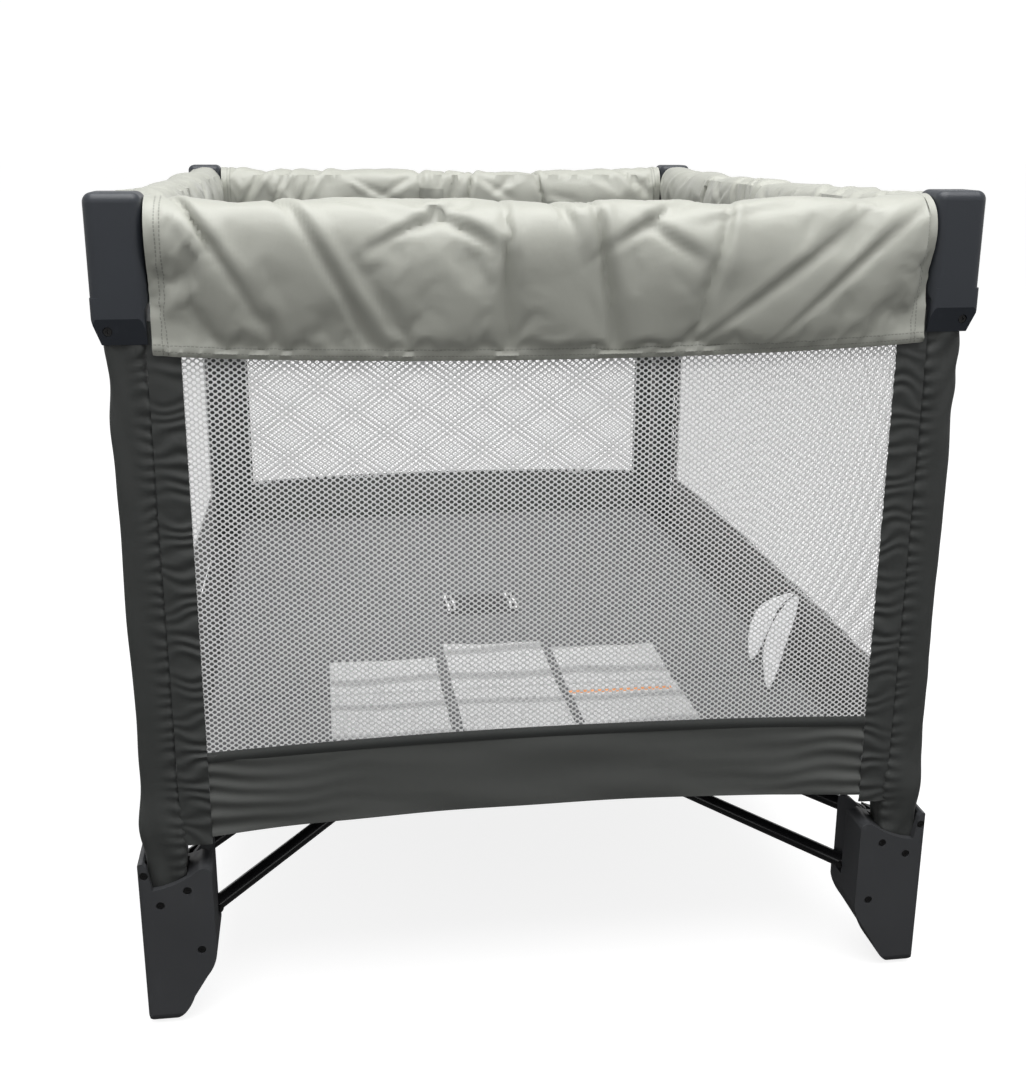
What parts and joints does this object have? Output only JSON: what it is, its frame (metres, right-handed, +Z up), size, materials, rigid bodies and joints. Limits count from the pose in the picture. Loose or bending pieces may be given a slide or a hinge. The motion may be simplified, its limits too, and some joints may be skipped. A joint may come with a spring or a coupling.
{
  "type": "travel play yard",
  "caption": "Folding travel play yard with mesh walls, padded folding top rails, central floor hub and a folding floor pad.",
  "frame": {"origin": "on the floor, under the middle of the play yard", "axes": "+Z up, +Y along the length towards the rear, +X to the right as seen from the front"},
  "size_m": [0.735, 0.985, 0.73],
  "materials": {
    "cap_plastic": "satin moulded plastic",
    "foot_plastic": "satin moulded plastic",
    "sleeve_fabric": "woven polyester, dark charcoal",
    "screw_steel": "blackened steel",
    "post_steel": "powder coat",
    "black_tube": "gloss black",
    "rail_steel": "plain steel tube",
    "cover_fabric": "satin woven polyester, sage grey",
    "mesh_fabric": "white hexagonal net",
    "pad_fabric": "woven polyester, dark grey",
    "floor_fabric": "coated polyester, charcoal",
    "strap_webbing": "nylon webbing",
    "hub_plastic": "moulded plastic",
    "latch_plastic": "moulded plastic",
    "button_plastic": "moulded plastic"
  },
  "bodies": {
    "hub": {"hub_body": "hub_plastic", "hub_pins": "screw_steel", "pull_strap": "strap_webbing", "floor_sheet": "floor_fabric"},
    "lower_bar_fl": {"lower_bar_fl": "black_tube"},
    "upper_bar_fl": {"upper_bar_fl": "black_tube"},
    "post_fl": {"post_tube_fl": "post_steel", "post_sleeve_fl": "sleeve_fabric", "corner_cap_fl": "cap_plastic", "foot_fl": "foot_plastic", "fasteners_fl": "screw_steel", "wall_front": "mesh_fabric"},
    "lower_bar_fr": {"lower_bar_fr": "black_tube"},
    "upper_bar_fr": {"upper_bar_fr": "black_tube"},
    "post_fr": {"post_tube_fr": "post_steel", "post_sleeve_fr": "sleeve_fabric", "corner_cap_fr": "cap_plastic", "foot_fr": "foot_plastic", "fasteners_fr": "screw_steel", "wall_right": "mesh_fabric"},
    "lower_bar_rl": {"lower_bar_rl": "black_tube"},
    "upper_bar_rl": {"upper_bar_rl": "black_tube"},
    "post_rl": {"post_tube_rl": "post_steel", "post_sleeve_rl": "sleeve_fabric", "corner_cap_rl": "cap_plastic", "foot_rl": "foot_plastic", "fasteners_rl": "screw_steel", "wall_left": "mesh_fabric"},
    "lower_bar_rr": {"lower_bar_rr": "black_tube"},
    "upper_bar_rr": {"upper_bar_rr": "black_tube"},
    "post_rr": {"post_tube_rr": "post_steel", "post_sleeve_rr": "sleeve_fabric", "corner_cap_rr": "cap_plastic", "foot_rr": "foot_plastic", "fasteners_rr": "screw_steel", "wall_rear": "mesh_fabric"},
    "rail_front_left_half": {"rail_front_left_half": "rail_steel"},
    "rail_front_right_half": {"rail_front_right_half": "rail_steel"},
    "latch_front": {"latch_front": "latch_plastic", "rail_cover_front": "cover_fabric"},
    "latch_button_front": {"latch_button_front": "button_plastic"},
    "rail_rear_left_half": {"rail_rear_left_half": "rail_steel"},
    "rail_rear_right_half": {"rail_rear_right_half": "rail_steel"},
    "latch_rear": {"latch_rear": "latch_plastic", "rail_cover_rear": "cover_fabric"},
    "latch_button_rear": {"latch_button_rear": "button_plastic"},
    "rail_left_front_half": {"rail_left_front_half": "rail_steel"},
    "rail_left_rear_half": {"rail_left_rear_half": "rail_steel"},
    "latch_left": {"latch_left": "latch_plastic", "rail_cover_left": "cover_fabric"},
    "latch_button_left": {"latch_button_left": "button_plastic"},
    "rail_right_front_half": {"rail_right_front_half": "rail_steel"},
    "rail_right_rear_half": {"rail_right_rear_half": "rail_steel"},
    "latch_right": {"latch_right": "latch_plastic", "rail_cover_right": "cover_fabric"},
    "latch_button_right": {"latch_button_right": "button_plastic"},
    "pad_panel_1": {"pad_panel_1": "pad_fabric"},
    "pad_panel_2": {"pad_panel_2": "pad_fabric"},
    "pad_panel_3": {"pad_panel_3": "pad_fabric"},
    "pad_panel_4": {"pad_panel_4": "pad_fabric"}
  },
  "joints": [
    {"name": "frame_fold", "type": "hinge", "parent": "hub", "child": "lower_bar_fl", "pos_m": [-0.029, -0.029, 0.09], "axis": [0.8217, -0.5699, 0], "range_deg": [0, 85], "deforming": ["wall_front", "wall_right", "wall_rear", "wall_left", "rail_cover_front", "rail_cover_rear", "rail_cover_left", "rail_cover_right", "floor_sheet", "pad_panel_1", "pad_panel_2", "pad_panel_3", "pad_panel_4"]},
    {"name": "lower_bar_to_post_fl", "type": "hinge", "parent": "lower_bar_fl", "child": "post_fl", "pos_m": [-0.312, -0.437, 0.09], "axis": [-0.8217, 0.5699, 0], "range_deg": [0, 85]},
    {"name": "hub_to_upper_bar_fl", "type": "hinge", "parent": "hub", "child": "upper_bar_fl", "pos_m": [-0.029, -0.029, 0.138], "axis": [0.8217, -0.5699, 0], "range_deg": [0, 85]},
    {"name": "hub_to_lower_bar_fr", "type": "hinge", "parent": "hub", "child": "lower_bar_fr", "pos_m": [0.029, -0.029, 0.09], "axis": [0.8217, 0.5699, 0], "range_deg": [0, 85]},
    {"name": "lower_bar_to_post_fr", "type": "hinge", "parent": "lower_bar_fr", "child": "post_fr", "pos_m": [0.312, -0.437, 0.09], "axis": [-0.8217, -0.5699, 0], "range_deg": [0, 85]},
    {"name": "hub_to_upper_bar_fr", "type": "hinge", "parent": "hub", "child": "upper_bar_fr", "pos_m": [0.029, -0.029, 0.138], "axis": [0.8217, 0.5699, 0], "range_deg": [0, 85]},
    {"name": "hub_to_lower_bar_rl", "type": "hinge", "parent": "hub", "child": "lower_bar_rl", "pos_m": [-0.029, 0.029, 0.09], "axis": [-0.8217, -0.5699, 0], "range_deg": [0, 85]},
    {"name": "lower_bar_to_post_rl", "type": "hinge", "parent": "lower_bar_rl", "child": "post_rl", "pos_m": [-0.312, 0.437, 0.09], "axis": [0.8217, 0.5699, 0], "range_deg": [0, 85]},
    {"name": "hub_to_upper_bar_rl", "type": "hinge", "parent": "hub", "child": "upper_bar_rl", "pos_m": [-0.029, 0.029, 0.138], "axis": [-0.8217, -0.5699, 0], "range_deg": [0, 85]},
    {"name": "hub_to_lower_bar_rr", "type": "hinge", "parent": "hub", "child": "lower_bar_rr", "pos_m": [0.029, 0.029, 0.09], "axis": [-0.8217, 0.5699, 0], "range_deg": [0, 85]},
    {"name": "lower_bar_to_post_rr", "type": "hinge", "parent": "lower_bar_rr", "child": "post_rr", "pos_m": [0.312, 0.437, 0.09], "axis": [0.8217, -0.5699, 0], "range_deg": [0, 85]},
    {"name": "hub_to_upper_bar_rr", "type": "hinge", "parent": "hub", "child": "upper_bar_rr", "pos_m": [0.029, 0.029, 0.138], "axis": [-0.8217, 0.5699, 0], "range_deg": [0, 85]},
    {"name": "cap_to_rail_front_left_half", "type": "hinge", "parent": "post_fl", "child": "rail_front_left_half", "pos_m": [-0.305, -0.4635, 0.704], "axis": [0, 1, 0], "range_deg": [0, 85]},
    {"name": "cap_to_rail_front_right_half", "type": "hinge", "parent": "post_fr", "child": "rail_front_right_half", "pos_m": [0.305, -0.4635, 0.704], "axis": [0, -1, 0], "range_deg": [0, 85]},
    {"name": "rail_to_latch_front", "type": "hinge", "parent": "rail_front_left_half", "child": "latch_front", "pos_m": [-0.022, -0.4635, 0.704], "axis": [0, -1, 0], "range_deg": [0, 85]},
    {"name": "release_front", "type": "slide", "parent": "latch_front", "child": "latch_button_front", "axis": [0, 0, 1], "range_m": [0, 0.004], "stiffness_N_per_m": 300},
    {"name": "cap_to_rail_rear_left_half", "type": "hinge", "parent": "post_rl", "child": "rail_rear_left_half", "pos_m": [-0.305, 0.4635, 0.704], "axis": [0, 1, 0], "range_deg": [0, 85]},
    {"name": "cap_to_rail_rear_right_half", "type": "hinge", "parent": "post_rr", "child": "rail_rear_right_half", "pos_m": [0.305, 0.4635, 0.704], "axis": [0, -1, 0], "range_deg": [0, 85]},
    {"name": "rail_to_latch_rear", "type": "hinge", "parent": "rail_rear_right_half", "child": "latch_rear", "pos_m": [0.022, 0.4635, 0.704], "axis": [0, 1, 0], "range_deg": [0, 85]},
    {"name": "release_rear", "type": "slide", "parent": "latch_rear", "child": "latch_button_rear", "axis": [0, 0, 1], "range_m": [0, 0.004], "stiffness_N_per_m": 300},
    {"name": "cap_to_rail_left_front_half", "type": "hinge", "parent": "post_fl", "child": "rail_left_front_half", "pos_m": [-0.3385, -0.43, 0.704], "axis": [-1, 0, 0], "range_deg": [0, 85]},
    {"name": "cap_to_rail_left_rear_half", "type": "hinge", "parent": "post_rl", "child": "rail_left_rear_half", "pos_m": [-0.3385, 0.43, 0.704], "axis": [1, 0, 0], "range_deg": [0, 85]},
    {"name": "rail_to_latch_left", "type": "hinge", "parent": "rail_left_rear_half", "child": "latch_left", "pos_m": [-0.3385, 0.022, 0.704], "axis": [-1, 0, 0], "range_deg": [0, 85]},
    {"name": "release_left", "type": "slide", "parent": "latch_left", "child": "latch_button_left", "axis": [0, 0, 1], "range_m": [0, 0.004], "stiffness_N_per_m": 300},
    {"name": "cap_to_rail_right_front_half", "type": "hinge", "parent": "post_fr", "child": "rail_right_front_half", "pos_m": [0.3385, -0.43, 0.704], "axis": [-1, 0, 0], "range_deg": [0, 85]},
    {"name": "cap_to_rail_right_rear_half", "type": "hinge", "parent": "post_rr", "child": "rail_right_rear_half", "pos_m": [0.3385, 0.43, 0.704], "axis": [1, 0, 0], "range_deg": [0, 85]},
    {"name": "rail_to_latch_right", "type": "hinge", "parent": "rail_right_front_half", "child": "latch_right", "pos_m": [0.3385, -0.022, 0.704], "axis": [1, 0, 0], "range_deg": [0, 85]},
    {"name": "release_right", "type": "slide", "parent": "latch_right", "child": "latch_button_right", "axis": [0, 0, 1], "range_m": [0, 0.004], "stiffness_N_per_m": 300},
    {"name": "pad_to_bundle", "type": "hinge", "parent": "post_fl", "child": "pad_panel_2", "pos_m": [-0.06567, -0.24422, 0.26267], "axis": [0.7071, 0, 0.7071], "range_deg": [0, 180.01]},
    {"name": "pad_fold_3", "type": "hinge", "parent": "pad_panel_2", "child": "pad_panel_3", "pos_m": [0, 0, 0.186], "axis": [-1, 0, 0], "range_deg": [0, 90.01]},
    {"name": "pad_fold_1", "type": "hinge", "parent": "pad_panel_2", "child": "pad_panel_1", "pos_m": [0, -0.232, 0.186], "axis": [1, 0, 0], "range_deg": [0, 90.01]},
    {"name": "pad_fold_4", "type": "hinge", "parent": "pad_panel_3", "child": "pad_panel_4", "pos_m": [0, 0.232, 0.186], "axis": [-1, 0, 0], "range_deg": [0, 90.01]}
  ],
  "couplings": [
    {"joint": "lower_bar_to_post_fl", "follows": "frame_fold", "ratio": 1},
    {"joint": "hub_to_upper_bar_fl", "follows": "frame_fold", "ratio": 1},
    {"joint": "hub_to_lower_bar_fr", "follows": "frame_fold", "ratio": 1},
    {"joint": "lower_bar_to_post_fr", "follows": "frame_fold", "ratio": 1},
    {"joint": "hub_to_upper_bar_fr", "follows": "frame_fold", "ratio": 1},
    {"joint": "hub_to_lower_bar_rl", "follows": "frame_fold", "ratio": 1},
    {"joint": "lower_bar_to_post_rl", "follows": "frame_fold", "ratio": 1},
    {"joint": "hub_to_upper_bar_rl", "follows": "frame_fold", "ratio": 1},
    {"joint": "hub_to_lower_bar_rr", "follows": "frame_fold", "ratio": 1},
    {"joint": "lower_bar_to_post_rr", "follows": "frame_fold", "ratio": 1},
    {"joint": "hub_to_upper_bar_rr", "follows": "frame_fold", "ratio": 1},
    {"joint": "cap_to_rail_front_left_half", "follows": "frame_fold", "ratio": 1},
    {"joint": "cap_to_rail_front_right_half", "follows": "frame_fold", "ratio": 1},
    {"joint": "rail_to_latch_front", "follows": "frame_fold", "ratio": 1},
    {"joint": "cap_to_rail_rear_left_half", "follows": "frame_fold", "ratio": 1},
    {"joint": "cap_to_rail_rear_right_half", "follows": "frame_fold", "ratio": 1},
    {"joint": "rail_to_latch_rear", "follows": "frame_fold", "ratio": 1},
    {"joint": "cap_to_rail_left_front_half", "follows": "frame_fold", "ratio": 1},
    {"joint": "cap_to_rail_left_rear_half", "follows": "frame_fold", "ratio": 1},
    {"joint": "rail_to_latch_left", "follows": "frame_fold", "ratio": 1},
    {"joint": "cap_to_rail_right_front_half", "follows": "frame_fold", "ratio": 1},
    {"joint": "cap_to_rail_right_rear_half", "follows": "frame_fold", "ratio": 1},
    {"joint": "rail_to_latch_right", "follows": "frame_fold", "ratio": 1},
    {"joint": "pad_to_bundle", "follows": "frame_fold", "ratio": 2.1176},
    {"joint": "pad_fold_3", "follows": "frame_fold", "ratio": 1.0588},
    {"joint": "pad_fold_1", "follows": "frame_fold", "ratio": 1.0588},
    {"joint": "pad_fold_4", "follows": "frame_fold", "ratio": 1.0588}
  ]
}
